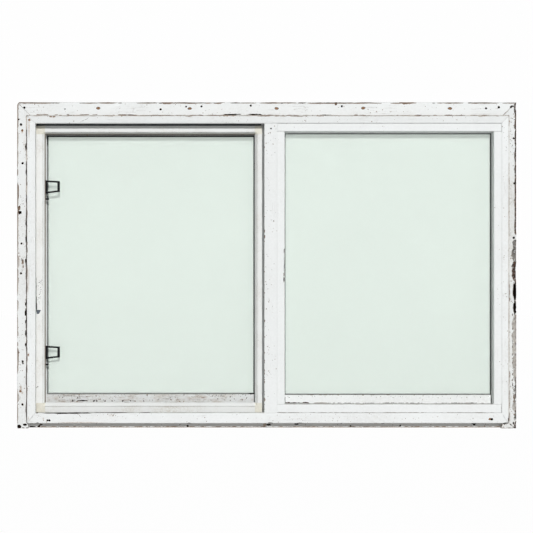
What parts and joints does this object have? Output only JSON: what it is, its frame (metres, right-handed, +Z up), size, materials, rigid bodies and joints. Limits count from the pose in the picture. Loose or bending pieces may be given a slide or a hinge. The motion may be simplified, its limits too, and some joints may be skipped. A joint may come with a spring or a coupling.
{
  "type": "horizontal sliding window",
  "caption": "Old white-painted wooden sliding window with casing boards, a fixed light, a sliding sash behind an insect-screen frame and black finger-loop latches.",
  "frame": {"origin": "bottom middle of the apron's back, on the face of the wall", "axes": "+X to the right seen from outside, +Y into the wall, +Z up"},
  "size_m": [1.5, 0.087, 0.98],
  "materials": {
    "painted_wood": "old white paint, chipped to brown wood at the edges",
    "screen_frame": "white enamelled aluminium, dulled",
    "corner_plastic": "plastic yellowed to cream",
    "latch_plastic": "black moulded plastic",
    "glass": "pale green float glass with a thin film of dust",
    "gasket": "grey vinyl channel",
    "track_metal": "mill, dulled",
    "glide_nylon": "nylon",
    "pile": "grey woven pile"
  },
  "bodies": {
    "root": {"fixed_bottom_bead": "painted_wood", "fixed_bottom_rail": "painted_wood", "fixed_gasket": "gasket", "fixed_glass": "glass", "fixed_left_bead": "painted_wood", "fixed_left_stile": "painted_wood", "fixed_right_bead": "painted_wood", "fixed_right_stile": "painted_wood", "fixed_top_bead": "painted_wood", "fixed_top_rail": "painted_wood", "frame_head": "painted_wood", "frame_sill": "painted_wood", "head_casing": "painted_wood", "left_casing": "painted_wood", "left_jamb": "painted_wood", "lower_latch_loop": "latch_plastic", "meeting_post": "painted_wood", "meeting_weatherstrip": "pile", "right_casing": "painted_wood", "right_jamb": "painted_wood", "sash_glides": "glide_nylon", "sash_pull": "track_metal", "screen_bottom_rail": "screen_frame", "screen_corner_bottom_left": "corner_plastic", "screen_corner_bottom_right": "corner_plastic", "screen_corner_top_left": "corner_plastic", "screen_corner_top_right": "corner_plastic", "screen_left_stile": "screen_frame", "screen_right_stile": "screen_frame", "screen_stops": "painted_wood", "screen_top_rail": "screen_frame", "sill_apron": "painted_wood", "sill_track": "track_metal", "upper_latch_loop": "latch_plastic", "vent_bottom_rail": "painted_wood", "vent_gasket": "gasket", "vent_glass": "glass", "vent_left_stile": "painted_wood", "vent_right_stile": "painted_wood", "vent_top_rail": "painted_wood"}
  },
  "joints": []
}
